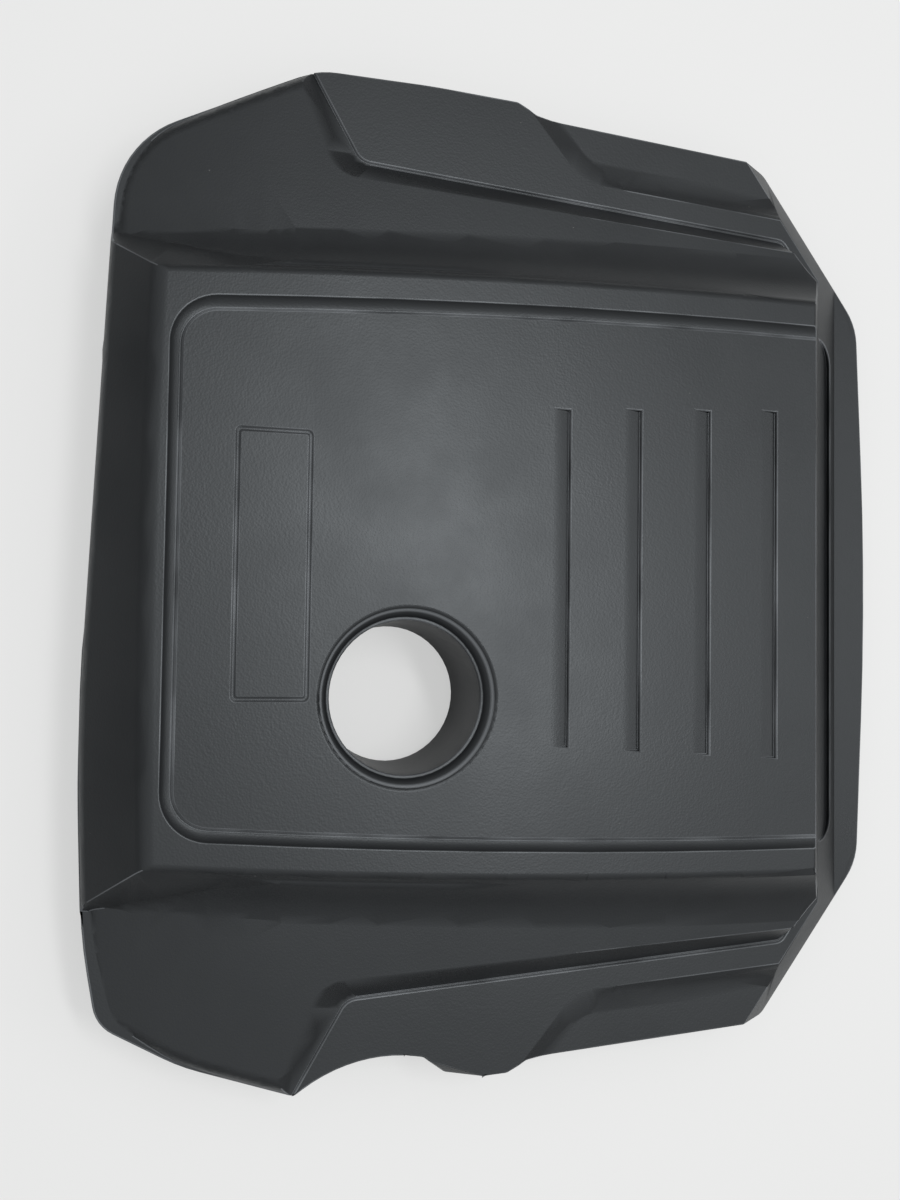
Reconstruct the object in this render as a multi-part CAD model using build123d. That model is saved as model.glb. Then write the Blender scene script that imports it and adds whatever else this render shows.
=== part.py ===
from build123d import *
import math
import os

# Frame: X from side to side, Y from the front edge to the back, Z up, origin on the floor under the middle.
# A station is a distance back from the front edge. Sizes are in mm and slopes in degrees from level.

# Overall size
depth = 493.0
height = 80.0
half_width = 290.6
wall = 2.8

# Deck: the raised middle, bowed along its sides and its front
deck_front = 32.5
deck_back = 425.4
deck_half_width = 173.0
deck_bow_radius = 4580.0
deck_bow_station = 415.0
deck_front_bow_radius = 4450.0
deck_front_slope = 42.0
deck_front_edge_radius = 15.0
deck_back_slope = 55.9
deck_back_edge_radius = 3.0

# Sweep: the concave fall from the sides of the deck to the wings
sweep_edge_radius = 7.0
sweep_slope = 48.0
sweep_radius = 62.0
sweep_tuck = 0.15

# Wings: tops beside the deck that dip to the front, then a band that falls to the crease
wing_height = 57.6
wing_reach = 51.0
wing_slope = 4.0
wing_dip_station = 50.0
wing_dip_slope = 16.0
wing_dip_radius = 420.0
dip_chord_count = 3
rim_radius = 11.0
brow_height = 58.0
crease_height = 47.0
crease_gap = 1.2

# Plates outside the crease, which fall in a soft hollow to the ledge, and the flange round the back
plate_height = 48.3
plate_falls = [(28.0, 4.0), (17.0, 5.0), (7.0, 6.0)]
flange_height = 30.0
diagonal_slope = 42.0
apron_slope = 37.0

# Ramped hollow in the apron behind the panel
hollow_half_width = 160.0
hollow_length = 16.7
hollow_slope = 45.0
hollow_corner_radius = 14.0

# Sunk panel: a channel runs round it inside the border, and both run out through the back slope
border_width = 14.6
panel_front = 42.0
panel_corner_radius = 27.0
panel_drop = 4.0
channel_drop = 6.0
channel_slope = 49.0
channel_width = 0.9
channel_wall_slope = 76.0

# Ramped bars across the back of the panel
bar_count = 4
bar_front = 257.5
bar_pitch = 44.3
bar_width = 10.5
bar_depth = 2.2
bar_half_length = 96.9
bar_growth = 2.5

# Bare frame engraved at the front of the panel, with sloped sides
frame_x = -2.3
frame_station = 98.6
frame_length = 148.0
frame_width = 42.0
frame_corner_radius = 3.0
frame_line = 2.8
frame_depth = 1.1
frame_side_slope = 50.0

# Filler opening: a rounded lip, a short cone, a step and a long tapered tube
filler_x = 69.3
filler_station = 174.8
filler_radius = 50.0
filler_lip_radius = 3.5
filler_cone_radius = 44.8
filler_cone_drop = 8.0
filler_step = 1.6
filler_foot_radius = 40.4
filler_foot_drop = 64.0

# Outline of the whole cover, as (x, station, corner radius)
front_bow = 1.1
front_middle_x = 95.0
front_bend = (200.0, 4.0, 280.0)
front_right = (half_width - 44.6, 12.5, 22.0)
diagonal_bend = (half_width - 19.6, 57.0, 120.0)
tip = (half_width + 1.2, 118.5, 5.0)
notch_corners = [
    (half_width - 22.0, 153.4, 88.0),
    (half_width - 15.1, 193.0, 6.0),
    (half_width - 4.1, 206.5, 4.0),
    (half_width - 1.6, 228.0, 10.0),
]
shoulder_corners = [(half_width - 2.3, 243.0, 6.0), (half_width - 8.3, 255.0, 6.0)]
back_corners = [(half_width - 19.4, 418.0, 8.0), (half_width - 113.1, 487.5, 40.0)]
back_bow = 1.7
left_side_corners = [(-half_width, 190.0, 400.0), (-half_width, 121.0, 50.0)]
front_left = (55.4 - half_width, 12.2, 60.0)

# Raised body of deck, sweeps and wings: right half of its plan at the crease and at the brow of the band
crease_corners = [
    (half_width + 49.4, 88.2, 0.0),
    (half_width - 51.6, 146.8, 12.0),
    (half_width - 70.3, 420.5, 6.0),
    (half_width - 140.6, 472.5, 0.0),
]
brow_corners = [
    (half_width + 49.4, 70.0, 0.0),
    (half_width - 64.6, 129.0, 25.0),
    (half_width - 79.4, 424.0, 6.0),
    (half_width - 140.6, 469.4, 0.0),
]

# Right half of the line where the plates fall to the ledge
plate_corners = [
    (half_width + 49.4, 247.0, 0.0),
    (half_width - 2.6, 247.0, 0.0),
    (half_width - 47.0, 285.0, 24.0),
    (half_width - 61.0, 500.0, 0.0),
]

# Bevel on the back of the notch, as the two ends of its top line
bevel_line = [(half_width - 17.6, 182.0, 0.0), (half_width - 2.0, 228.5, 0.0)]
bevel_slope = 47.0

# Half-round tab low on the front wall
tab_x = -125.5
tab_radius = 54.0
tab_reach = 2.4
tab_height = 12.0

# Lower rim: an arch under each wing and a raised back
arch_front = 150.0
arch_back = 380.0
arch_height = 14.0
arch_width = 90.6
back_rim_front = 404.0
back_rim_height = 20.0
rim_cut_run = 16.0
rim_cut_radius = 8.0

# Mounts under the deck: ribs cross at each, and the cross goes down as a post into a rubber grommet
mount_x = 132.0
mount_stations = {"front": 66.0, "back": 385.0}
post_radius = 6.5
post_foot = 54.0

# Grommets with a socket for a ball stud
grommet_radius = 11.5
grommet_foot = 35.5
grommet_top = 64.0
grommet_edge = 1.2
grommet_room = 1.5
socket_radius = 4.2
socket_length = 5.0
socket_mouth_radius = 7.0
socket_mouth_height = 3.0
seat_radius = 5.0
seat_height = 7.5

# Ribs under the deck
rib_width = 1.8
rib_foot = 58.0
rib_stations = [66.0, 240.0, 320.0, 385.0]

# Room beyond the outline for cutting bodies, and how near counts as touching
outside = 340.0
front_room = 20.0
below = -12.0
above = 100.0
touching = 0.01

# Inner skin: shifted a wall down and this share of a wall inward, which keeps level and 45 degree walls even
draw_share = math.tan(math.radians(22.5))

along_section = Plane(origin=(0, 0, 0), x_dir=(0, 1, 0), z_dir=(1, 0, 0))


def tan(slope):
    """Tangent of a slope in degrees."""
    return math.tan(math.radians(slope))


def back(station):
    """Y of a distance back from the front edge."""
    return station - depth / 2


def rounded_outline(corners):
    """Face inside a closed outline of (u, v, radius) corners, each rounded by a tangent arc."""
    points = [Vector(u, v) for u, v, radius in corners]
    arcs = []
    for index, (u, v, radius) in enumerate(corners):
        corner = points[index]
        before = (points[index - 1] - corner).normalized()
        after = (points[(index + 1) % len(points)] - corner).normalized()
        half_angle = math.acos(before.dot(after)) / 2
        reach = radius / math.tan(half_angle)
        middle = corner + (before + after).normalized() * (radius / math.sin(half_angle) - radius)
        arcs.append((corner + before * reach, middle, corner + after * reach))
    edges = []
    for index, (start, middle, end) in enumerate(arcs):
        edges.append(Line(arcs[index - 1][2], start))
        if corners[index][2] > 0:
            edges.append(ThreePointArc(start, middle, end))
    return make_face(edges)


def in_plan(corners):
    """Plan face of (x, station, radius) corners."""
    return rounded_outline([(x, back(station), radius) for x, station, radius in corners])


def in_section(corners):
    """Lengthwise section face of (station, z, radius) corners, at X = 0."""
    return along_section * rounded_outline([(back(station), z, radius) for station, z, radius in corners])


def mirrored(corners):
    """Mirror images of corners, in reverse order."""
    return [(-x, station, radius) for x, station, radius in reversed(corners)]


def on_line(first, second, x):
    """Point at an x on the line through two corners."""
    share = (x - first[0]) / (second[0] - first[0])
    return (x, first[1] + (second[1] - first[1]) * share, 0.0)


def drawn_in(face, amount):
    """Face with its outline moved inward, or outward where the amount is negative."""
    if amount == 0:
        return face
    return offset(face, -amount, kind=Kind.INTERSECTION)


def prism(face, low, high):
    """Upright prism on a plan face."""
    return extrude(Pos(0, 0, low) * face, high - low)


def tapered(low_face, low, high_face, high):
    """Straight-sided body between two plan faces."""
    return loft([Pos(0, 0, low) * low_face, Pos(0, 0, high) * high_face], ruled=True)


def under_slope(first, second, level, slope):
    """All under a plane that holds the line between two plan points at a level and rises to its left."""
    start = Vector(first[0], back(first[1]), level)
    line = (Vector(second[0], back(second[1]), level) - start).normalized()
    rise = Vector(-line.Y, line.X, 0)
    foot = below - level
    reach = 2 * outside
    section = Polyline((foot / tan(slope), foot), (reach, foot), (reach, reach * tan(slope)), close=True)
    across = Plane(origin=start, x_dir=rise, z_dir=rise.cross(Vector(0, 0, 1)))
    return extrude(across * make_face(section), reach, both=True)


def bow_radius(bow, turn):
    """Radius of the arc that rounds a blunt corner of a given turn by a bow."""
    return bow / (1 / math.cos(turn / 2) - 1)


def turn_at(before, corner, after):
    """Angle by which an outline turns at a corner."""
    first = math.atan2(corner[1] - before[1], corner[0] - before[0])
    second = math.atan2(after[1] - corner[1], after[0] - corner[0])
    return abs(second - first)


front_tip = (front_middle_x, -front_bow)
back_tip = (0.0, depth + back_bow)
front_middle = front_tip + (bow_radius(front_bow, turn_at(front_left, front_tip, front_bend)),)
back_left_corners = mirrored(back_corners)
back_turn = 2 * math.atan((back_tip[1] - back_corners[-1][1]) / back_corners[-1][0])
back_middle = back_tip + (bow_radius(back_bow, back_turn),)
right_rim = [front_middle, front_bend, front_right, diagonal_bend, tip]
left_rim = [front_middle, front_left, left_side_corners[-1]]
fall_drops = [run * tan(slope) for slope, run in plate_falls]
ledge_height = plate_height - sum(fall_drops)
apron_top = deck_back + (height - plate_height) / tan(deck_back_slope)
apron_foot = apron_top + (plate_height - flange_height) / tan(apron_slope)
panel_height = height - panel_drop
beyond_front = (outside, -front_room, 0.0)


def cover_plan():
    """Plan of the whole cover."""
    right_side = right_rim + notch_corners + shoulder_corners + back_corners
    left_side = mirrored(shoulder_corners + back_corners) + left_side_corners + [front_left]
    return in_plan(right_side + [back_middle] + left_side)


def raised_plan(level):
    """Plan of the raised body at a level: its band is straight in section from crease to brow."""
    share = (level - crease_height) / (brow_height - crease_height)
    corners = [beyond_front]
    for crease, brow in zip(crease_corners, brow_corners):
        corners.append(tuple(low + (high - low) * share for low, high in zip(crease, brow)))
    return in_plan(corners + mirrored(corners))


def rim_edges(body, plan, last_station):
    """Upper edges of a body's walls on its plan outline, as far back as a station."""
    outline = plan.face().outer_wire()
    chosen = []
    for edge in body.edges():
        middle = edge @ 0.5
        upright = abs((edge % 0.5).Z) > math.cos(math.radians(45))
        upper = middle.Z > 0 and middle.Y < back(last_station) and not upright
        if upper and outline.distance_to(Vertex(middle.X, middle.Y, 0)) < touching:
            chosen.append(edge)
    return chosen


def bowed(section):
    """Body of a section of the deck, turned about far axes so that both its sides bow."""
    across = Plane(origin=(0, back(deck_bow_station), 0), x_dir=(1, 0, 0), z_dir=(0, -1, 0))
    axis = Axis((deck_half_width - deck_bow_radius, back(deck_bow_station), 0), (0, 0, 1))
    front_turn = math.degrees((deck_bow_station + outside) / deck_bow_radius)
    back_turn = math.degrees(outside / deck_bow_radius)
    right = revolve((across * section).rotate(axis, -front_turn), axis, front_turn + back_turn)
    return right & mirror(right, Plane.YZ)


def dip_chords():
    """Station, fall and slope of each chord of the arc in which the wings dip to the front."""
    start = wing_dip_station + wing_dip_radius * tan(wing_dip_slope / 2)
    for step in range(dip_chord_count):
        angle = math.radians(wing_dip_slope * step / dip_chord_count)
        station = start - wing_dip_radius * math.sin(angle)
        fall = wing_dip_radius * (1 - math.cos(angle))
        yield station, fall, wing_dip_slope * (step + 0.5) / dip_chord_count


def hill(drop, draw):
    """Deck with its sides sweeping down to the wings, and the feet of the sweeps dipping with them."""
    angle = math.radians(sweep_slope)
    edge_reach = sweep_edge_radius * math.tan(angle / 2)
    top = height - drop
    low = below - outside
    edge_start = Vector(deck_half_width - draw - edge_reach, top)
    edge_middle = edge_start + Vector(math.sin(angle / 2), math.cos(angle / 2) - 1) * sweep_edge_radius
    edge_end = edge_start + Vector(math.sin(angle), math.cos(angle) - 1) * sweep_edge_radius
    edge_foot = Vector(edge_end.X + (edge_end.Y - low) / tan(sweep_slope), low)
    deck = bowed(make_face([
        Line((-outside, top), edge_start),
        ThreePointArc(edge_start, edge_middle, edge_end),
        Polyline(edge_end, edge_foot, (-outside, low), (-outside, top)),
    ]))
    sweep_start = edge_end - Vector(sweep_tuck, 0)
    centre = sweep_start + Vector(math.sin(angle), math.cos(angle)) * sweep_radius
    sweep_middle = centre - Vector(math.sin(angle / 2), math.cos(angle / 2)) * sweep_radius
    sweep_end = centre - Vector(0, sweep_radius)
    level_sweep = bowed(make_face([
        ThreePointArc(sweep_start, sweep_middle, sweep_end),
        Polyline(sweep_end, (sweep_end.X, low), (-outside, low), (-outside, sweep_start.Y), sweep_start),
    ]))
    sweep = level_sweep
    for station, fall, slope in dip_chords():
        chord = Pos(0, back(station), sweep_end.Y - fall) * Rot(slope, 0, 0)
        sweep = sweep & (chord * Pos(0, -back(station), -sweep_end.Y) * level_sweep)
    return deck + sweep


def wing(side, inset, drop):
    """One wing: it falls outward and dips to the front, with a rounded rim at front, corner and diagonal."""
    rim = right_rim if side > 0 else left_rim
    far = on_line(rim[-2], rim[-1], side * outside)
    inner_x = -side * deck_half_width
    inner_front = on_line(front_middle, (left_rim if side > 0 else right_rim)[1], inner_x)
    plan = in_plan(rim[:-1] + [far, (far[0], depth, 0.0), (inner_x, depth, 0.0), inner_front])
    plan = drawn_in(plan, inset)
    top = wing_height - drop + (deck_half_width + wing_reach) * tan(wing_slope)
    low = below - outside * tan(wing_slope)
    section = in_section([
        (-front_room, low, 0.0),
        (-front_room, top - (wing_dip_station + front_room) * tan(wing_dip_slope), 0.0),
        (wing_dip_station, top, wing_dip_radius),
        (depth + outside, top, 0.0),
        (depth + outside, low, 0.0),
    ])
    under = extrude(section, 2 * outside, dir=(side, 0, -tan(wing_slope)), both=True)
    slab = prism(plan, below, above) & under
    half = Pos(side * outside, 0, 0) * Box(2 * outside, 3 * depth, 3 * above)
    return fillet(rim_edges(slab, plan, deck_bow_station / 2), rim_radius - inset) & half


def front_body(inset, drop, draw):
    """All behind the front wall and under the front face, with the rim between them rounded."""
    left_end = on_line(front_middle, front_left, -outside)
    right_end = on_line(front_bend, front_right, outside)
    back_ends = [(outside, depth, 0.0), (-outside, depth, 0.0)]
    plan = drawn_in(in_plan([left_end, front_middle, front_bend, right_end] + back_ends), inset)
    top = height - drop
    edge = deck_front + draw
    section = in_section([
        (-front_room, below, 0.0),
        (-front_room, top - (edge + front_room) * tan(deck_front_slope), 0.0),
        (edge, top, deck_front_edge_radius),
        (depth + outside, top, 0.0),
        (depth + outside, below, 0.0),
    ])
    axis = Axis((0, back(deck_front) + deck_front_bow_radius, 0), (0, 0, 1))
    turn = math.degrees(2 * outside / deck_front_bow_radius)
    under_face = revolve(section.rotate(axis, -turn), axis, 2 * turn)
    block = prism(plan, below, above) & under_face
    return fillet(rim_edges(block, plan, deck_front), rim_radius - inset)


def back_body(drop, draw):
    """All in front of the back slope of the deck."""
    top = height - drop
    edge = deck_back - draw
    section = in_section([
        (-outside, below, 0.0),
        (-outside, top, 0.0),
        (edge, top, deck_back_edge_radius),
        (edge + (top - below) / tan(deck_back_slope), below, 0.0),
    ])
    return extrude(section, outside, both=True)


def panel_plan(inset):
    """Plan of the sunk panel, drawn in from the inner edge of the border."""
    radius = deck_bow_radius - border_width - inset
    side = Pos(deck_half_width - deck_bow_radius, back(deck_bow_station)) * Circle(radius)
    strip = Pos(0, back(panel_front + inset) + depth / 2) * Rectangle(2 * outside, depth)
    plan = side & mirror(side, Plane.YZ) & strip
    return fillet(plan.vertices().group_by(Axis.Y)[0], panel_corner_radius - inset)


def sunk(body, drop, draw):
    """Body with the channel and the panel sunk into its deck."""
    floor = height - channel_drop - drop
    run = channel_drop / tan(channel_slope)
    trench = tapered(panel_plan(run - draw), floor, panel_plan(-run - draw), floor + 2 * channel_drop)
    rise = channel_drop - panel_drop
    wall_run = rise / tan(channel_wall_slope)
    foot = run + channel_width + draw
    island = tapered(panel_plan(foot - wall_run), floor - rise, panel_plan(foot + wall_run), floor + rise)
    return (body - trench) + (island & body)


def raised_body(inset):
    """Deck, sweeps and wings down to the band that ends in the crease."""
    drop = inset
    draw = inset * draw_share
    low_plan = drawn_in(raised_plan(ledge_height), draw)
    high_plan = drawn_in(raised_plan(height), draw)
    band = tapered(low_plan, ledge_height - drop, high_plan, height - drop)
    body = hill(drop, draw) + wing(1, inset, drop) + wing(-1, inset, drop)
    body = body & front_body(inset, drop, draw) & back_body(drop, draw)
    body = body & (band + prism(low_plan, below, ledge_height - drop))
    return sunk(body, drop, draw)


def under_falls(inset):
    """All under the slopes that end plates and ledges at the back: one on each diagonal and the apron."""
    level = flange_height - inset
    draw = inset * draw_share
    foot = apron_foot - draw
    body = under_slope((outside, foot), (-outside, foot), level, apron_slope)
    for first, second in (back_corners, back_left_corners):
        body = body & under_slope(first, second, level - draw * tan(diagonal_slope), diagonal_slope)
    return body


def plate_fall(inset):
    """Bodies under the soft hollow from the plates to the ledge, each gentler than the one above."""
    corners = [beyond_front] + plate_corners
    edge = in_plan(corners + mirrored(corners))
    level = plate_height - inset
    reach = inset * draw_share
    falls = []
    for (slope, run), drop in zip(plate_falls, fall_drops):
        line = drawn_in(edge, reach)
        foot_run = (level - below) / tan(slope)
        falls.append(tapered(drawn_in(line, -foot_run), below, line, level))
        reach -= run
        level -= drop
    return falls


def notch_bevel(inset):
    """Wedge above the bevel on the back of the notch."""
    first, second = bevel_line
    across = (second[1] - first[1], first[0] - second[0])
    outer = [(x + across[0], station + across[1], 0.0) for x, station, radius in bevel_line]
    level = plate_height - inset / math.cos(math.radians(bevel_slope))
    strip = in_plan([first, outer[0], outer[1], second])
    return prism(strip, below, above) - under_slope(first, second, level, bevel_slope)


def apron_hollow(inset):
    """Wedge above the ramped hollow in the apron: flush at the apron's top, deepest at its back wall."""
    side = hollow_half_width + inset
    end = apron_top + hollow_length + inset
    radius = hollow_corner_radius + inset
    right_corners = [(side, apron_top, 0.0), (side, end, radius)]
    plan = in_plan(right_corners + mirrored(right_corners))
    level = plate_height - inset / math.cos(math.radians(hollow_slope))
    floor = under_slope((outside, apron_top), (-outside, apron_top), level, hollow_slope)
    return prism(plan, below, plate_height) - floor


def lower_body(inset):
    """Plates outside the crease, the ledge below them and the flange."""
    plan = drawn_in(cover_plan(), inset)
    plate = prism(plan, below, plate_height if inset == 0 else crease_height - inset)
    body = prism(plan, below, ledge_height - inset)
    for fall in reversed(plate_fall(inset)):
        body = body + (plate & fall)
    if inset == 0:
        before_wall = Pos(0, back(apron_top - crease_gap - depth)) * Rectangle(2 * outside, 2 * depth)
        pocket = drawn_in(raised_plan(crease_height), -crease_gap) & before_wall
        body = body - prism(pocket, crease_height, above)
    body = body - notch_bevel(inset)
    return prism(plan, below, flange_height - inset) + (body & under_falls(inset))


def skin(inset):
    """Solid under the outer skin, or under the inner skin where the inset is the wall."""
    block = prism(drawn_in(cover_plan(), inset), below if inset > 0 else 0.0, above)
    return (raised_body(inset) + lower_body(inset)) & block


def bar_ramp(index, inset):
    """Wedge above one ramped bar: flush with the panel at the front, deepest at its back wall."""
    level = panel_height - inset
    front = bar_front + index * bar_pitch
    end = front + bar_width + inset
    corners = [(front, level), (end, level - bar_depth), (end, height), (front, height)]
    section = in_section([(station, z, 0.0) for station, z in corners])
    return extrude(section, bar_half_length + index * bar_growth + inset, both=True)


def frame_loop(inset, radius):
    """Rounded rectangle of the bare frame, drawn in from its outer edge."""
    loop = RectangleRounded(frame_length - 2 * inset, frame_width - 2 * inset, radius)
    return Pos(frame_x, back(frame_station)) * loop


def frame_groove():
    """Engraved line of the bare frame."""
    floor = panel_height - frame_depth
    top = panel_height + frame_depth
    run = frame_depth / tan(frame_side_slope)
    radius = frame_corner_radius
    outer = tapered(frame_loop(run, radius), floor, frame_loop(-run, radius), top)
    radius = frame_corner_radius / 2
    inner = tapered(frame_loop(frame_line - run, radius), floor, frame_loop(frame_line + run, radius), top)
    return outer - inner


def about_filler(corners):
    """Body turned about the filler's axis from (radius, z, corner radius) corners."""
    body = revolve(Plane.XZ * rounded_outline(corners), Axis.Z)
    return Pos(filler_x, back(filler_station)) * body


def filler_side(grow, drop):
    """Corners of the side of the filler opening from its foot to below its lip, grown by a wall."""
    step = panel_height - filler_cone_drop - drop
    return [
        (filler_foot_radius + grow, panel_height - filler_foot_drop, 0.0),
        (filler_cone_radius - filler_step + grow, step, 0.0),
        (filler_cone_radius + grow, step, 0.0),
    ]


def filler_hole():
    """Filler opening, run on below its foot and above its lip."""
    side = filler_side(0.0, 0.0)
    wide = filler_radius + 2 * filler_lip_radius
    lip = [(filler_radius, panel_height, filler_lip_radius), (wide, panel_height, 0.0), (wide, height, 0.0)]
    ends = [(0.0, below, 0.0), (filler_foot_radius, below, 0.0)]
    return about_filler(ends + side + lip + [(0.0, height, 0.0)])


def filler_funnel():
    """Body round the filler opening, up into the panel."""
    side = filler_side(wall, wall)
    top = panel_height - wall / 2
    foot = side[0][1]
    return about_filler([(0.0, foot, 0.0)] + side + [(filler_radius + wall, top, 0.0), (0.0, top, 0.0)])


def mount_places():
    """Name, x and Y of each mount."""
    for end, station in mount_stations.items():
        for side_name, side in (("left", -1), ("right", 1)):
            yield f"{end}_{side_name}", side * mount_x, back(station)


def at_mounts(radius, low, high):
    """Upright cylinders, one at each mount."""
    upright = Cylinder(radius, high - low, align=(Align.CENTER, Align.CENTER, Align.MIN))
    return [Pos(x, y, low) * upright for name, x, y in mount_places()]


def rib_grid(low):
    """Thin walls from a level up, lengthwise through the mounts and across."""
    tall = above - low
    middle = low + tall / 2
    lengthwise = Box(rib_width, depth, tall)
    crosswise = Box(2 * outside, rib_width, tall)
    ribs = [Pos(side * mount_x, 0, middle) * lengthwise for side in (1, -1)]
    return ribs + [Pos(0, back(station), middle) * crosswise for station in rib_stations]


def ribs_and_posts():
    """Ribs under the deck, cut away round the grommets, and the posts where they cross."""
    rooms = at_mounts(grommet_radius + grommet_room, below, grommet_top + grommet_room)
    ribs = [rib - rooms for rib in rib_grid(rib_foot)]
    grid = Part() + rib_grid(post_foot)
    return ribs + [grid & post for post in at_mounts(post_radius, post_foot, above)]


def rim_cuts():
    """Arches in the side walls and the raised rim at the back."""
    arch = in_section([
        (arch_front, below, 0.0),
        (arch_front, 0.0, 0.0),
        (arch_front + rim_cut_run, arch_height, rim_cut_radius),
        (arch_back - rim_cut_run, arch_height, rim_cut_radius),
        (arch_back, 0.0, 0.0),
        (arch_back, below, 0.0),
    ])
    raised_back = in_section([
        (back_rim_front, below, 0.0),
        (back_rim_front, 0.0, 0.0),
        (back_rim_front + rim_cut_run, back_rim_height, rim_cut_radius),
        (depth + outside, back_rim_height, 0.0),
        (depth + outside, below, 0.0),
    ])
    cuts = [extrude(raised_back, outside, both=True)]
    for side in (1, -1):
        inner = Pos(side * (half_width - arch_width), 0, 0)
        cuts.append(inner * extrude(arch, side * outside))
    return cuts


def front_tab(void):
    """Half-round tab low on the front wall."""
    wall_station = on_line(front_middle, front_left, tab_x)[1]
    disc = Pos(tab_x, back(wall_station - tab_reach + tab_radius)) * Circle(tab_radius)
    return prism(disc, 0.0, tab_height) - void


def cover_shell():
    """The moulded cover: outer skin less inner skin, with all that stands in its hollow."""
    outer = skin(0.0) - apron_hollow(0.0)
    void = skin(wall) - apron_hollow(wall)
    tab = front_tab(void)
    for index in range(bar_count):
        outer = outer - bar_ramp(index, 0.0)
        void = void - bar_ramp(index, wall)
    outer = outer - frame_groove() + tab
    void = void - (ribs_and_posts() + [filler_funnel()])
    return outer - void - rim_cuts() - filler_hole()


def grommet():
    """Rubber bush on a post, with a socket and a seat for a ball below, standing on the Z axis."""
    neck = grommet_foot + socket_mouth_height
    seat = neck + socket_length
    outline = Polyline(
        (0.0, seat + seat_height), (seat_radius, seat + seat_height), (seat_radius, seat),
        (socket_radius, seat), (socket_radius, neck), (socket_mouth_radius, grommet_foot),
        (grommet_radius - grommet_edge, grommet_foot), (grommet_radius, grommet_foot + grommet_edge),
        (grommet_radius, grommet_top), (post_radius, grommet_top), (post_radius, post_foot),
        (0.0, post_foot), close=True)
    return revolve(Plane.XZ * make_face(outline), Axis.Z)


os.makedirs("parts", exist_ok=True)
export_step(cover_shell(), "parts/cover_shell.step")
for name, x, y in mount_places():
    export_step(Pos(x, y) * grommet(), f"parts/grommet_{name}.step")
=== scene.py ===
# %% [markdown]
# # A moulded engine cover
# The part is one black injection moulding with four rubber grommets under it. The solids already have its
# true form, so this lesson gives them soft edges, a grained satin finish, the light of a pale workbench and
# the camera's place above the front edge.

# %% Load the frame
import bmesh
import bpy
import math
from mathutils import Matrix, Vector


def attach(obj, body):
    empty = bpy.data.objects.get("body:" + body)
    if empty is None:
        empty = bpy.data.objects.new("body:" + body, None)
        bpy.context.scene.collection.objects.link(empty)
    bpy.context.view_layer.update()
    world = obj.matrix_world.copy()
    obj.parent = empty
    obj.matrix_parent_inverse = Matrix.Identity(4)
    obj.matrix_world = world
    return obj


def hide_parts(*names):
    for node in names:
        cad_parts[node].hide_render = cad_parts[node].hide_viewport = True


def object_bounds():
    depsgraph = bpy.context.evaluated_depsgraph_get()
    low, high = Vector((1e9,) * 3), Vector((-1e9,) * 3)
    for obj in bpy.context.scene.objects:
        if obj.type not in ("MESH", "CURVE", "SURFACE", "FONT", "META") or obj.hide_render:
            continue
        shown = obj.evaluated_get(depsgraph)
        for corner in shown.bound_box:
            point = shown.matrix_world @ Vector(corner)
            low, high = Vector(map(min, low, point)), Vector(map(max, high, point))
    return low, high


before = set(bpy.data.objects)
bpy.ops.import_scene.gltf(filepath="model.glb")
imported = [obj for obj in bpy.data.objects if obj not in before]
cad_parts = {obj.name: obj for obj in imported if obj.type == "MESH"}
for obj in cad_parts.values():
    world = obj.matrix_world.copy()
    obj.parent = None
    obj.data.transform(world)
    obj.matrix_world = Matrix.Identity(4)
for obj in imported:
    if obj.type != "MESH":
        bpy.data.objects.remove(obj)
cad_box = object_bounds()
print("solids", sorted(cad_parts))
print("size in metres", [round(high - low, 4) for low, high in zip(*cad_box)])

# %% [markdown]
# ## The cover's skin
# A moulding never has a knife edge: the tool steel is broken at every corner, and that small round catches
# the light as a thin line along the channel, the bars and the creases. The solid's mesh is loose triangles,
# so a copy is merged first. Its flat areas are found by dissolving them to whole faces, and these are marked
# and cut into well shaped triangles again, which a bevel can follow.

# %% Copy the solid's mesh
MERGE_DISTANCE = 2e-5
FLAT_ANGLE = math.radians(0.05)
FLAT_AREA = 0.005
LEVEL = 0.99999


def merged_copy(node, name):
    """New object with a node's mesh, its triangles merged and those of its flat areas marked."""
    mesh = bpy.data.meshes.new(name)
    cells = bmesh.new()
    cells.from_mesh(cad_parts[node].data)
    bmesh.ops.remove_doubles(cells, verts=cells.verts, dist=MERGE_DISTANCE)
    bmesh.ops.dissolve_limit(cells, angle_limit=FLAT_ANGLE, verts=cells.verts, edges=cells.edges)
    flat = cells.faces.layers.int.new("flat")
    for face in cells.faces:
        face.smooth = True
        face[flat] = int(face.calc_area() > FLAT_AREA or abs(face.normal.z) > LEVEL)
    bmesh.ops.triangulate(cells, faces=cells.faces, quad_method="BEAUTY", ngon_method="BEAUTY")
    cells.to_mesh(mesh)
    cells.free()
    piece = bpy.data.objects.new(name, mesh)
    bpy.context.scene.collection.objects.link(piece)
    return piece


cover = merged_copy("cover_shell", "cover")
print("cover triangles", len(cover.data.polygons))

# %% [markdown]
# ## Two known rounds
# The round along the deck's sides has one radius, so its normal follows from the height alone, better than
# from its few triangles. The slope of the channel gets a normal that turns up towards the floor, because on
# the real cover it shades lighter there. Both change how a face shades and leave its form alone.

# %% Known rounds
DECK_HEIGHT = 0.080
DECK_ROUND = 0.007
DECK_SIDE_LEAN = math.radians(48.0)
DECK_SIDE_FALL = 0.0026
DECK_SIDE_REACH = 0.004
DECK_HALF_WIDTH = 0.173
DECK_BOW_RADIUS = 4.58
DECK_BOW_PLACE = 0.1685
DECK_ENDS = (-0.195, 0.174)
CHANNEL_FRONT = -0.214
CHANNEL_FLOOR = 0.0742
CHANNEL_EDGE = 0.0797
CHANNEL_BELOW = 0.0735
CHANNEL_LEAN = (0.5, 0.77)
CHANNEL_SOFTNESS = 0.7
UP = Vector((0.0, 0.0, 1.0))


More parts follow.
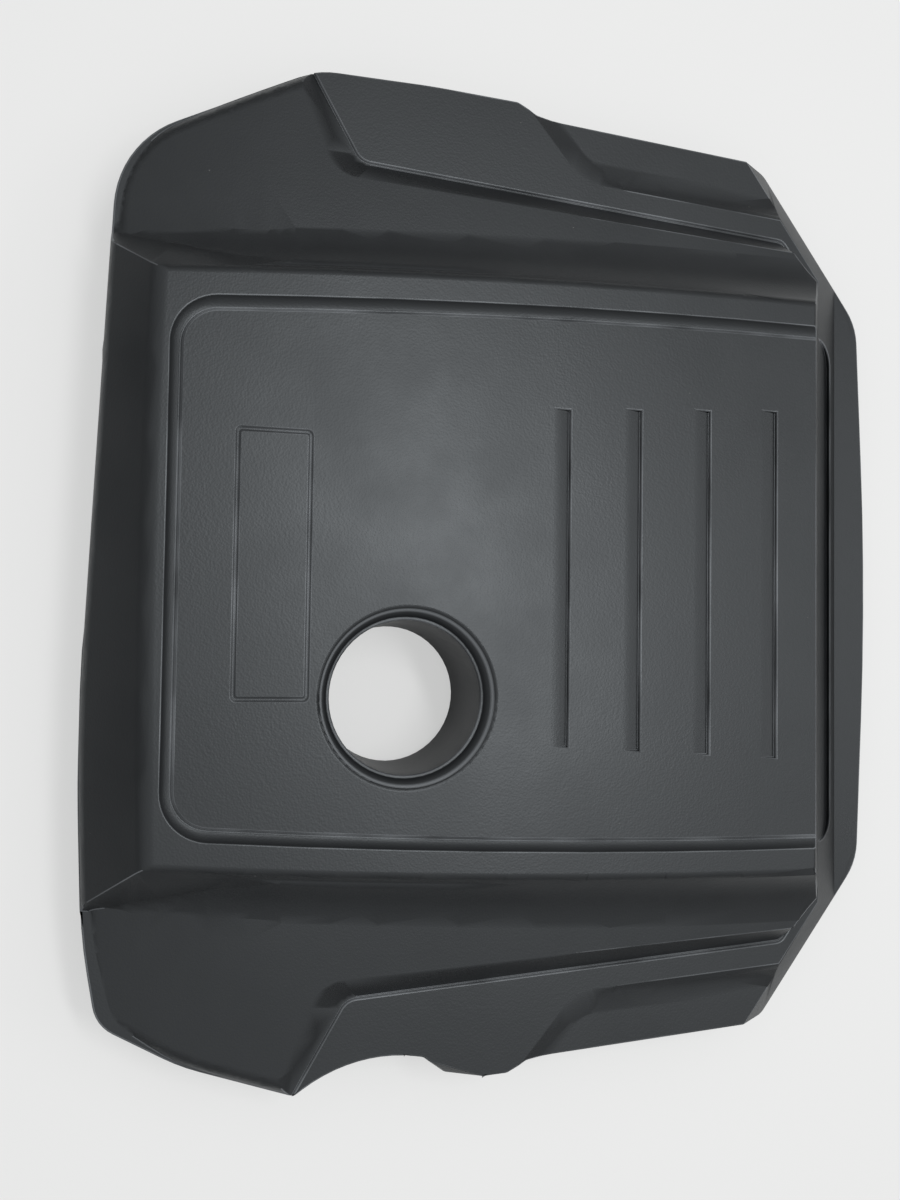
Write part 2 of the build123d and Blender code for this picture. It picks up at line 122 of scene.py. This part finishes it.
def on_deck_side(point, normal):
    """Whether a corner lies on the round along a side of the deck."""
    edge = DECK_HALF_WIDTH - (point.y - DECK_BOW_PLACE) ** 2 / (2 * DECK_BOW_RADIUS)
    inside = DECK_ENDS[0] < point.y < DECK_ENDS[1] and normal.z > 0
    return inside and abs(point.x) > edge - DECK_SIDE_REACH and point.z > DECK_HEIGHT - DECK_SIDE_FALL


def deck_side_normal(point):
    """Normal of the deck's side round at a height."""
    fall = max(DECK_HEIGHT - point.z, 0.0)
    lean = min(math.acos(1.0 - fall / DECK_ROUND), DECK_SIDE_LEAN)
    return Vector((math.copysign(math.sin(lean), point.x), 0.0, math.cos(lean)))


def on_channel_slope(point, normal):
    """Whether a corner lies on the slope of the channel."""
    on_deck = abs(point.x) < DECK_HALF_WIDTH and point.y > CHANNEL_FRONT
    slope = CHANNEL_LEAN[0] < normal.z < CHANNEL_LEAN[1]
    return on_deck and slope and CHANNEL_BELOW < point.z < CHANNEL_EDGE


def channel_normal(point, normal):
    """Normal of the channel's slope, turned up the more the nearer it is to the floor."""
    share = min((CHANNEL_EDGE - point.z) / (CHANNEL_EDGE - CHANNEL_FLOOR), 1.0)
    return normal.lerp(UP, CHANNEL_SOFTNESS * share).normalized()


print("deck side round", DECK_ROUND, "channel depth", round(DECK_HEIGHT - CHANNEL_FLOOR, 4))

# %% [markdown]
# ## Rounded edges
# The rim of the outline is rounder than the fine edges and grooves of the panel. Each edge gets a weight by
# how sharply it turns and by the faces beside it, and a Bevel modifier rolls it by that weight. A bevel can
# push a point a little past the moulding, so such points are put back on the sides of the solids' box.

# %% Weigh its edges
EDGE_ANGLE = math.radians(41.0)
BROW_ANGLE = math.radians(24.0)
FINE_ROUND = 0.0004
RIM_ROUND = 0.0011
UPRIGHT = 0.35
FACING_UP = 0.5


def weigh_edges(piece):
    """Bevel weights on the edges of a piece: whole on its rims, part of it on fine edges and grooves."""
    cells = bmesh.new()
    cells.from_mesh(piece.data)
    weights = cells.edges.layers.float.new("bevel_weight_edge")
    counts = {"rim": 0, "fine": 0}
    for edge in cells.edges:
        turn = edge.calc_face_angle_signed(0.0)
        heights = [abs(face.normal.z) for face in edge.link_faces]
        groove = turn < -EDGE_ANGLE and sum(face.normal.z for face in edge.link_faces) > FACING_UP
        edge_found = groove or turn > EDGE_ANGLE or (turn > BROW_ANGLE and max(heights) > LEVEL)
        middle = (edge.verts[0].co + edge.verts[1].co) / 2
        if edge_found and not on_deck_side(middle, UP):
            kind = "rim" if turn > 0 and min(heights) < UPRIGHT < max(heights) else "fine"
            edge[weights] = 1.0 if kind == "rim" else FINE_ROUND / RIM_ROUND
            counts[kind] += 1
    cells.to_mesh(piece.data)
    cells.free()
    return counts


print("edges to round", weigh_edges(cover))

# %% Round its edges
EDGE_SEGMENTS = 2
SKIN_SLOT = 0
EDGE_SLOT = 1


def applied(piece):
    """The piece with its modifiers turned into plain mesh."""
    graph = bpy.context.evaluated_depsgraph_get()
    mesh = bpy.data.meshes.new_from_object(piece.evaluated_get(graph), depsgraph=graph)
    old = piece.data
    piece.modifiers.clear()
    piece.data = mesh
    bpy.data.meshes.remove(old)
    return piece


def round_edges(piece, width, segments):
    """Bevel on a piece's weighted edges, as plain mesh whose new faces use the second of two slots."""
    for slot in (SKIN_SLOT, EDGE_SLOT):
        piece.data.materials.append(None)
    bevel = piece.modifiers.new("edge_round", "BEVEL")
    bevel.width = width
    bevel.segments = segments
    bevel.limit_method = "WEIGHT"
    bevel.use_clamp_overlap = False
    bevel.loop_slide = False
    bevel.material = EDGE_SLOT
    return applied(piece)


def put_back(piece, box):
    """Points of a piece that lie past a box, put back on its sides."""
    count = 0
    for vertex in piece.data.vertices:
        inside = [min(max(value, low), high) for value, low, high in zip(vertex.co, *box)]
        if inside != list(vertex.co):
            vertex.co = inside
            count += 1
    return count


round_edges(cover, RIM_ROUND, EDGE_SEGMENTS)
print("cover faces with round edges", len(cover.data.polygons))
print("points put back into the solids' box", put_back(cover, cad_box))

# %% [markdown]
# ## Even normals
# A flat moulded face mirrors the room evenly up to its very edge, and a round blends into the flat that it
# starts from. So each corner of a flat face keeps the face's own normal, and a corner of a round or of a
# bevel takes the normal of a flat that it touches, or else the mean of the round faces about it. The deck's
# side round leans by its height, and the slope of the channel runs out softly into its floor.

# %% Set the normals
SMOOTH_SHARE = math.cos(math.radians(50.0))


def mean_normal(mesh, faces, normals):
    """Mean of some faces' normals by area."""
    return sum((normals[face] * mesh.polygons[face].area for face in faces), Vector()).normalized()


def even_normals(piece):
    """Normals that keep flats flat and rounds smooth."""
    mesh = piece.data
    marks = mesh.attributes["flat"].data
    normals = [face.normal.copy() for face in mesh.polygons]
    flats = [marks[face.index].value == 1 and face.material_index == SKIN_SLOT for face in mesh.polygons]
    about = [[] for vertex in mesh.vertices]
    for face in mesh.polygons:
        for vertex in face.vertices:
            about[vertex].append(face.index)
    corners = []
    for face in mesh.polygons:
        own = normals[face.index]
        for vertex in face.vertices:
            point = mesh.vertices[vertex].co
            near = [other for other in about[vertex] if normals[other].dot(own) > SMOOTH_SHARE]
            near_flats = [other for other in near if flats[other]]
            if flats[face.index] or not near:
                corners.append(own)
            elif on_deck_side(point, own):
                corners.append(deck_side_normal(point))
            elif on_channel_slope(point, own):
                rounds = [other for other in near if not flats[other]]
                corners.append(channel_normal(point, mean_normal(mesh, rounds, normals)))
            elif near_flats:
                corners.append(normals[max(near_flats, key=lambda other: normals[other].dot(own))])
            else:
                corners.append(mean_normal(mesh, near, normals))
    mesh.normals_split_custom_set(corners)
    return sum(flats)


print("flat faces", even_normals(cover))

# %% [markdown]
# ## Painted edge highlights
# On the real cover the edges and fine grooves show as thin pale lines where their rounds catch the light.
# The new faces of the bevel are those edges and grooves; the ones that face up carry a mark where the finish
# paints a highlight.

# %% Mark the edges
SHINE_FACING = 0.25


def mark_edges(piece):
    """Attribute that is 1 on the bevelled edges that face up."""
    mesh = piece.data
    edge_shine = mesh.attributes.new("edge_highlight", "FLOAT", "FACE")
    faces = mesh.polygons
    # Up-facing bevel faces are marked for a painted highlight.
    shining = [float(face.material_index == EDGE_SLOT and face.normal.z > SHINE_FACING) for face in faces]
    edge_shine.data.foreach_set("value", shining)
    for face in faces:
        face.material_index = SKIN_SLOT
    return int(sum(shining))


print("worn edge faces", mark_edges(cover))

# %% [markdown]
# ## Shader maths
# Finishes below are worked out from a few textures. A small class wraps a socket so that a finish reads as
# ordinary arithmetic, and one method adds any other node with its settings and inputs.

# %% A finish and its wires
MIX_FIRST = 6
MIX_SECOND = 7
MIX_RESULT = 2


class Wire:
    """An output socket that takes part in Python maths."""

    def __init__(self, finish, socket):
        self.finish = finish
        self.socket = socket

    def maths(self, operation, other):
        node = self.finish.add("ShaderNodeMath", {"operation": operation}, {0: self, 1: other})
        return node("Value")

    def __add__(self, other):
        return self.maths("ADD", other)

    def __mul__(self, other):
        return self.maths("MULTIPLY", other)

    def __lt__(self, other):
        return self.maths("LESS_THAN", other)

    def __gt__(self, other):
        return self.maths("GREATER_THAN", other)


class Finish:
    """A material whose nodes are added by type, settings and inputs."""

    def __init__(self, name):
        self.material = bpy.data.materials.new(name)
        self.material.use_nodes = True
        self.tree = self.material.node_tree
        self.tree.nodes.clear()
        self.shader = self.tree.nodes.new("ShaderNodeBsdfPrincipled")
        output = self.tree.nodes.new("ShaderNodeOutputMaterial")
        self.tree.links.new(self.shader.outputs["BSDF"], output.inputs["Surface"])

    def add(self, kind, settings=None, inputs=None):
        node = self.tree.nodes.new(kind)
        for name, value in (settings or {}).items():
            setattr(node, name, value)
        for name, value in (inputs or {}).items():
            self.feed(node.inputs[name], value)
        return lambda output: Wire(self, node.outputs[output])

    def feed(self, socket, value):
        if isinstance(value, Wire):
            self.tree.links.new(value.socket, socket)
        else:
            socket.default_value = value

    def set(self, **inputs):
        for name, value in inputs.items():
            self.feed(self.shader.inputs[name.replace("_", " ")], value)

    def place(self):
        return self.add("ShaderNodeTexCoord")("Object")

    def noise(self, size, detail=2.0, rough=0.5):
        """Noise whose blotches are about a size in metres."""
        inputs = {"Vector": self.place(), "Scale": 1.0 / size, "Detail": detail, "Roughness": rough}
        return self.add("ShaderNodeTexNoise", {}, inputs)("Fac")

    def cells(self, feature, size):
        """Cellular pattern whose cells are about a size in metres."""
        inputs = {"Vector": self.place(), "Scale": 1.0 / size}
        return self.add("ShaderNodeTexVoronoi", {"feature": feature}, inputs)

    def blend(self, factor, first, second):
        """Colour that goes from the first to the second as the factor goes from 0 to 1."""
        inputs = {"Factor": factor, MIX_FIRST: first, MIX_SECOND: second}
        return self.add("ShaderNodeMix", {"data_type": "RGBA"}, inputs)(MIX_RESULT)

    def spread(self, value, low, high, to_low=0.0, to_high=1.0):
        """Value stretched from one range to another and kept inside it."""
        inputs = {"Value": value, "From Min": low, "From Max": high, "To Min": to_low, "To Max": to_high}
        return self.add("ShaderNodeMapRange", {}, inputs)("Result")

    def bump(self, height, distance, strength):
        inputs = {"Height": height, "Distance": distance, "Strength": strength}
        return self.add("ShaderNodeBump", {}, inputs)("Normal")


# %% [markdown]
# ## Grained black plastic
# The tool is etched, so the skin has a fine pebbled grain that breaks up reflections and leaves a satin
# sheen. Real parts also gather handling marks: cloudy patches where tone and sheen differ a little, and
# dust. The up-facing edges get a painted highlight, patchy along them, for the light their rounds catch.
# The grain is a small cellular bump with a softer wave under it, the clouds move tone and roughness, and
# the dust is a sparse scatter of pale dots. The lip of the filler opening gets a painted highlight as well,
# a bright line worked out from its distance to the opening's centre.

# %% Plastic colours and sizes
PLASTIC_BLACK = (0.0088, 0.0096, 0.0106, 1.0)
PLASTIC_WORN = (0.0115, 0.0124, 0.0135, 1.0)
HIGHLIGHT_GREY = (0.115, 0.122, 0.13, 1.0)
DUST_GREY = (0.16, 0.16, 0.155, 1.0)
COOL_SHEEN = (0.90, 0.96, 1.0, 1.0)
PLASTIC_IOR = 1.5
SATIN_ROUGHNESS = (0.36, 0.44)
GRAIN_SIZE = 0.0011
GRAIN_DEPTH = 0.00009
GRAIN_STRENGTH = 0.55
WAVE_SIZE = 3 * GRAIN_SIZE
WAVE_SHARE = 0.6
FINE_DETAIL = 3.0
CLOUD_SIZE = 0.07
CLOUD_DETAIL = 4.0
CLOUD_ROUGH = 0.6
CLOUD_TONE = (0.35, 0.7)
CLOUD_SHEEN = (0.3, 0.7)
EDGE_SHINE_PATCH = 0.05
EDGE_SHINE_RANGE = (0.35, 0.65)
EDGE_SHINE_SHARE = (0.25, 1.0)
DUST_SPACING = 0.011
DUST_RADIUS = 0.00034
DUST_CLEAN_SHARE = 0.8
DUST_COVER = 0.6
DUST_DULLNESS = 0.3
FILLER_CENTRE = (0.0693, -0.0717, 0.0)
LIP_RING = 0.0487
LIP_RING_WIDTH = 0.0011
LIP_RING_ABOVE = 0.066
PLAN = (1.0, 1.0, 0.0)


# %% Plastic finish
def lip_highlight(finish):
    """Painted highlight: a bright line on the lip of the filler opening."""
    place = finish.place()
    plan = finish.add("ShaderNodeVectorMath", {"operation": "MULTIPLY"}, {0: place, 1: PLAN})("Vector")
    span = finish.add("ShaderNodeVectorMath", {"operation": "DISTANCE"}, {0: plan, 1: FILLER_CENTRE})
    reach = span("Value")
    inner = finish.spread(reach, LIP_RING - LIP_RING_WIDTH, LIP_RING, 0.0, 1.0)
    outer = finish.spread(reach, LIP_RING, LIP_RING + LIP_RING_WIDTH, 1.0, 0.0)
    height = finish.add("ShaderNodeSeparateXYZ", {}, {"Vector": place})("Z")
    return inner * outer * (height > LIP_RING_ABOVE)


def dust_dots(finish):
    """Sparse scatter of small dots."""
    dots = finish.cells("F1", DUST_SPACING)
    chance = finish.add("ShaderNodeSeparateColor", {}, {"Color": dots("Color")})("Red")
    return (dots("Distance") < DUST_RADIUS / DUST_SPACING) * (chance > DUST_CLEAN_SHARE)


def grained_plastic():
    """Satin black plastic with an etched grain, dust and painted highlights on its edges and lip."""
    finish = Finish("grained_black_plastic")
    cloud = finish.noise(CLOUD_SIZE, CLOUD_DETAIL, CLOUD_ROUGH)
    dust = dust_dots(finish)
    shine_patches = finish.spread(finish.noise(EDGE_SHINE_PATCH), *EDGE_SHINE_RANGE, *EDGE_SHINE_SHARE)
    # Painted highlight: a lighter grey on the up-facing bevelled edges, patchy by a noise.
    edge_shine = finish.add("ShaderNodeAttribute", {"attribute_name": "edge_highlight"})("Fac") * shine_patches
    tone = finish.blend(finish.spread(cloud, *CLOUD_TONE), PLASTIC_BLACK, PLASTIC_WORN)
    tone = finish.blend(edge_shine, tone, HIGHLIGHT_GREY)
    # Painted highlight on the lip of the filler opening.
    tone = finish.blend(lip_highlight(finish), tone, HIGHLIGHT_GREY)
    finish.set(Base_Color=finish.blend(dust * DUST_COVER, tone, DUST_GREY))
    finish.set(Roughness=finish.spread(cloud, *CLOUD_SHEEN, *SATIN_ROUGHNESS) + dust * DUST_DULLNESS)
    finish.set(IOR=PLASTIC_IOR, Specular_Tint=COOL_SHEEN)
    grain = finish.cells("SMOOTH_F1", GRAIN_SIZE)("Distance")
    grain = grain + finish.noise(WAVE_SIZE, FINE_DETAIL) * WAVE_SHARE
    finish.set(Normal=finish.bump(grain, GRAIN_DEPTH, GRAIN_STRENGTH))
    return finish.material


plastic = grained_plastic()
cover.data.materials.clear()
cover.data.materials.append(plastic)
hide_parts("cover_shell")
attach(cover, "root")
print("cover finished in", plastic.name)

# %% [markdown]
# ## Rubber grommets
# The push-on sockets under the deck are plain matt rubber. Their solids are right as they are, so they only
# get a dull finish with a faint bloom.

# %% Rubber finish
RUBBER_BLACK = (0.016, 0.016, 0.0165, 1.0)
RUBBER_BLOOM = (0.04, 0.04, 0.04, 1.0)
RUBBER_ROUGHNESS = (0.72, 0.86)
RUBBER_GRAIN = 0.0008
RUBBER_GRAIN_DEPTH = 0.00008
RUBBER_GRAIN_STRENGTH = 0.4
BLOOM_SIZE = 0.006
BLOOM_TONE = (0.4, 0.75)
BLOOM_SHEEN = (0.3, 0.7)


def matt_rubber():
    """Dull black rubber with a faint bloom."""
    finish = Finish("matt_rubber")
    bloom = finish.noise(BLOOM_SIZE, FINE_DETAIL)
    finish.set(Base_Color=finish.blend(finish.spread(bloom, *BLOOM_TONE), RUBBER_BLACK, RUBBER_BLOOM))
    finish.set(Roughness=finish.spread(bloom, *BLOOM_SHEEN, *RUBBER_ROUGHNESS))
    finish.set(Normal=finish.bump(finish.noise(RUBBER_GRAIN), RUBBER_GRAIN_DEPTH, RUBBER_GRAIN_STRENGTH))
    return finish.material


rubber = matt_rubber()
grommets = [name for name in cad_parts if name.startswith("grommet_")]
for name in grommets:
    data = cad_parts[name].data
    data.materials.clear()
    data.materials.append(rubber)
print("grommets", len(grommets))

# %% [markdown]
# ## Bench
# The cover lies on a white bench. To the camera the bench glows a little, so that it stays as pale as a real
# one under this light. Only rays from the camera see that glow, so it puts no more light on the cover.

# %% Lay the bench
BENCH_WHITE = (0.82, 0.825, 0.82, 1.0)
BENCH_SEEN = (0.30, 0.30, 0.30, 1.0)
BENCH_GLOW = (0.50, 0.503, 0.50, 1.0)
NO_GLOW = (0.0, 0.0, 0.0, 1.0)
BENCH_ROUGHNESS = 0.7
BENCH_HALF = 6.0


def bench():
    """Wide flat bench top with its finish."""
    mesh = bpy.data.meshes.new("bench")
    corners = [(x * BENCH_HALF, y * BENCH_HALF, 0.0) for x, y in ((-1, -1), (1, -1), (1, 1), (-1, 1))]
    mesh.from_pydata(corners, [], [(0, 1, 2, 3)])
    top = bpy.data.objects.new("bench", mesh)
    bpy.context.scene.collection.objects.link(top)
    finish = Finish("bench_white")
    seen = finish.add("ShaderNodeLightPath")("Is Camera Ray")
    finish.set(Base_Color=finish.blend(seen, BENCH_WHITE, BENCH_SEEN), Roughness=BENCH_ROUGHNESS)
    finish.set(Emission_Color=finish.blend(seen, NO_GLOW, BENCH_GLOW), Emission_Strength=1.0)
    mesh.materials.append(finish.material)
    return top


bench()
print("bench side", 2 * BENCH_HALF)

# %% [markdown]
# ## Room and lamps
# A bright ceiling and dimmer walls stand round the bench: level faces mirror the ceiling, and faces that
# slope mirror the walls and go dark. A world that is bright overhead and dims towards the horizon gives
# this, with its bright pole almost upright. A long soft lamp above and a little behind the cover lies on
# the panel as a broad sheen, and a faint window further back lightens the slopes that face it.

# %% Room
CEILING_LIGHT = 0.88
WALL_LIGHT = 0.13
POLE_LEAN = Vector((0.03, 0.05, 0.99)).normalized()
WALL_SHARE = 0.05
CEILING_SHARE = 0.95
ROOM_WHITE = (1.0, 1.0, 1.0, 1.0)


def room_light():
    """World that goes from the walls' light to the ceiling's."""
    world = bpy.data.worlds.new("room")
    bpy.context.scene.world = world
    world.use_nodes = True
    tree = world.node_tree
    background = tree.nodes["Background"]
    place = tree.nodes.new("ShaderNodeTexCoord")
    towards_pole = tree.nodes.new("ShaderNodeVectorMath")
    towards_pole.operation = "DOT_PRODUCT"
    towards_pole.inputs[1].default_value = POLE_LEAN
    ramp = tree.nodes.new("ShaderNodeMapRange")
    ramp.interpolation_type = "SMOOTHSTEP"
    shares = {"From Min": WALL_SHARE, "From Max": CEILING_SHARE}
    lights = {"To Min": WALL_LIGHT, "To Max": CEILING_LIGHT}
    for name, value in {**shares, **lights}.items():
        ramp.inputs[name].default_value = value
    tree.links.new(place.outputs["Generated"], towards_pole.inputs[0])
    tree.links.new(towards_pole.outputs["Value"], ramp.inputs["Value"])
    tree.links.new(ramp.outputs["Result"], background.inputs["Strength"])
    background.inputs["Color"].default_value = ROOM_WHITE
    return world


print("world", room_light().name)

# %% Lamps
LAMP_PLACE = Vector((-0.17, 0.40, 1.9))
LAMP_SIZE = (1.1, 0.22)
LAMP_RADIANCE = 18.0
WINDOW_PLACE = Vector((-0.05, 1.85, 1.70))
WINDOW_SIZE = (1.4, 0.35)
WINDOW_RADIANCE = 2.8


def soft_lamp(name, place, size, radiance):
    """Rectangular lamp that faces the cover and shines at an even radiance."""
    data = bpy.data.lights.new(name, "AREA")
    data.shape = "RECTANGLE"
    data.size, data.size_y = size
    data.energy = radiance * math.pi * size[0] * size[1]
    lamp = bpy.data.objects.new(name, data)
    turn = place.to_track_quat("Z", "Y").to_matrix().to_4x4()
    lamp.matrix_world = Matrix.Translation(place) @ turn
    bpy.context.scene.collection.objects.link(lamp)
    return lamp


lamp = soft_lamp("long_lamp", LAMP_PLACE, LAMP_SIZE, LAMP_RADIANCE)
window = soft_lamp("back_window", WINDOW_PLACE, WINDOW_SIZE, WINDOW_RADIANCE)
print("lamp watts", round(lamp.data.energy, 2), "window watts", round(window.data.energy, 2))

# %% [markdown]
# ## Camera
# The camera looks down from above the front edge, with its right side towards the back of the cover. Its
# place and turns were fitted to the panel, the bars, the filler opening and the edges of the outline.

# %% Place the camera
SENSOR = 36.0
LENS = 34.5
CAMERA_PLACE = Vector((0.0414, -0.2117, 0.6968))
CAMERA_TILT = math.radians(14.68)
CAMERA_YAW = math.radians(-2.39)
CAMERA_ROLL = math.radians(-0.80)


def bench_camera():
    """Camera above the bench, made the one that the scene uses."""
    data = bpy.data.cameras.new("bench_camera")
    data.sensor_fit = "VERTICAL"
    data.sensor_height = SENSOR
    data.lens = LENS
    data.dof.use_dof = False
    camera = bpy.data.objects.new("bench_camera", data)
    bpy.context.scene.collection.objects.link(camera)
    looking_down = Matrix(((0, 1, 0), (-1, 0, 0), (0, 0, 1)))
    turned = (Matrix.Rotation(CAMERA_ROLL, 3, "Z") @ Matrix.Rotation(CAMERA_YAW, 3, "X")
              @ Matrix.Rotation(CAMERA_TILT, 3, "Y") @ looking_down)
    camera.matrix_world = Matrix.Translation(CAMERA_PLACE) @ turned.transposed().to_4x4()
    bpy.context.scene.camera = camera
    return camera


print("camera height", bench_camera().location.z)
bpy.context.scene.view_settings.view_transform = "Standard"
